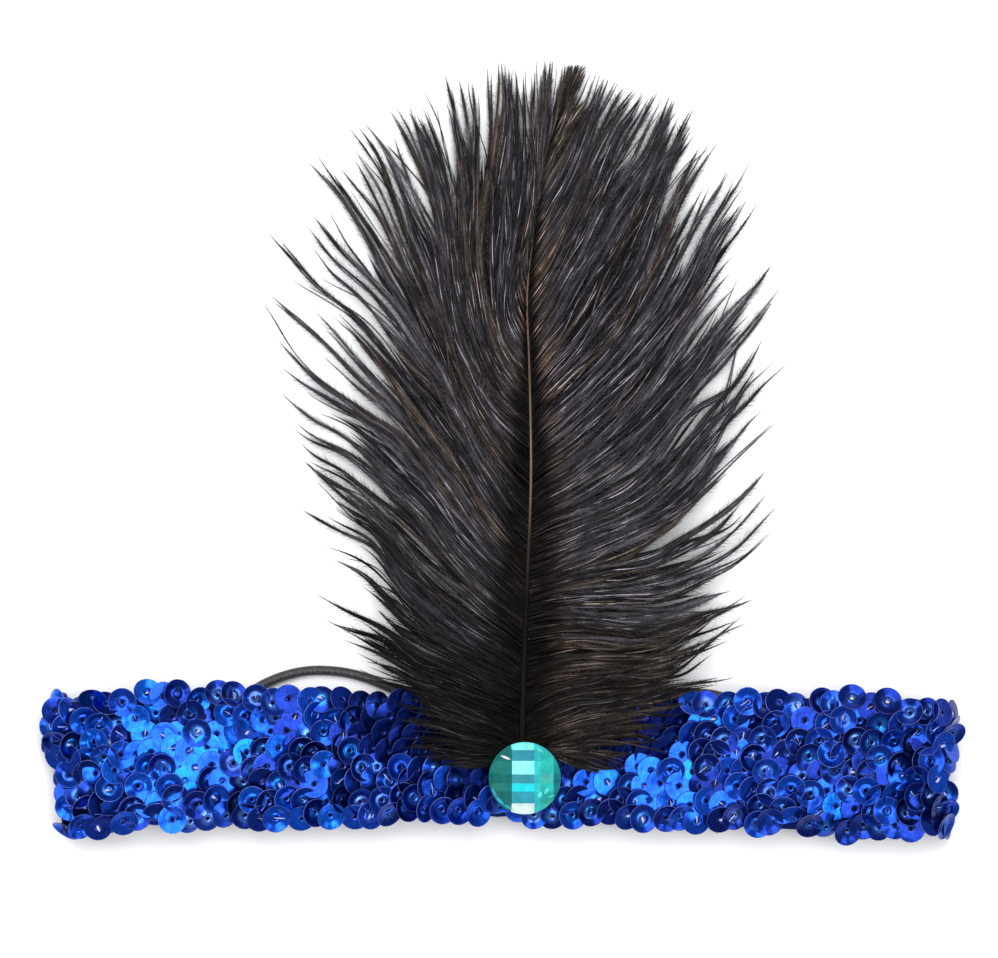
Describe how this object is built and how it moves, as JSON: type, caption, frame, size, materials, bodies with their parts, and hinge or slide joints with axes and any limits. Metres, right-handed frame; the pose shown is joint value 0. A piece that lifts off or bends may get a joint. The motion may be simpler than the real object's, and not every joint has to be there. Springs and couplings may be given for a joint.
{
  "type": "flapper headband",
  "caption": "Sequinned stretch headband folded flat, open at the back on a round elastic cord, with a black plume and a round faceted stone at its front.",
  "frame": {"origin": "on the surface that the headband lies on, under the middle of the box round the band and the plume", "axes": "+X along the band to the wearer's left, +Y from the band to the plume's tip, +Z out of the band's front"},
  "size_m": [0.204, 0.17, 0.019],
  "materials": {
    "sequins": "overlapping cupped metallic sequins on a dark blue stretch knit",
    "shaft": "dyed quill, dark brown at its base and pale tan further up",
    "barbs": "soft black plume barbs with a grey sheen",
    "stone": "foil-backed faceted teal acrylic",
    "elastic": "finely braided black elastic",
    "ribbon": "dark blue stretch knit, folded and sewn"
  },
  "bodies": {
    "root": {"sequin_band": "sequins", "feather_quill": "shaft", "feather_vane_left": "barbs", "feather_vane_right": "barbs", "faceted_stone": "stone", "elastic_cord": "elastic", "cord_tab_left": "ribbon", "cord_tab_right": "ribbon"}
  },
  "joints": []
}
